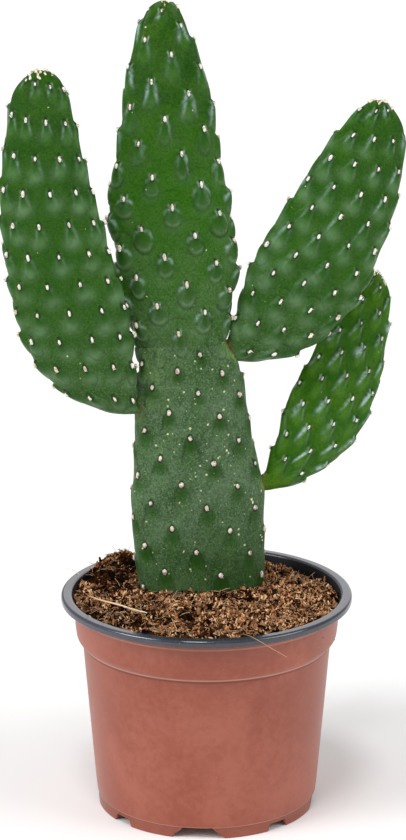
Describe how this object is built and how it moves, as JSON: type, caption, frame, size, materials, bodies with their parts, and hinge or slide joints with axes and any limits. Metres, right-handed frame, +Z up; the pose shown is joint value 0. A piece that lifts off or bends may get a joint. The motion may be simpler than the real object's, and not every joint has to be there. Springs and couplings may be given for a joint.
{
  "type": "potted paddle cactus",
  "caption": "Potted paddle cactus: flat fleshy pads with woolly areoles branching from an upright trunk, in a round nursery pot filled with soil.",
  "frame": {"origin": "centre of the pot's foot, on the surface that the pot stands on", "axes": "+Z up, -Y towards the viewer of the pads' broad faces, +X to that viewer's right"},
  "size_m": [0.2339, 0.17, 0.473],
  "materials": {
    "pot": "satin moulded terracotta plastic, blue-grey lip, black inside",
    "soil": "rough peat and coir crumbs",
    "trunk": "waxy grey-green skin with fine flecks",
    "pad": "glossy green skin",
    "young_pad": "glossy yellow-green skin"
  },
  "bodies": {
    "root": {"pot": "pot", "soil": "soil", "trunk": "trunk", "top_pad": "pad", "left_pad": "pad", "right_pad": "pad", "small_pad": "young_pad"}
  },
  "joints": []
}
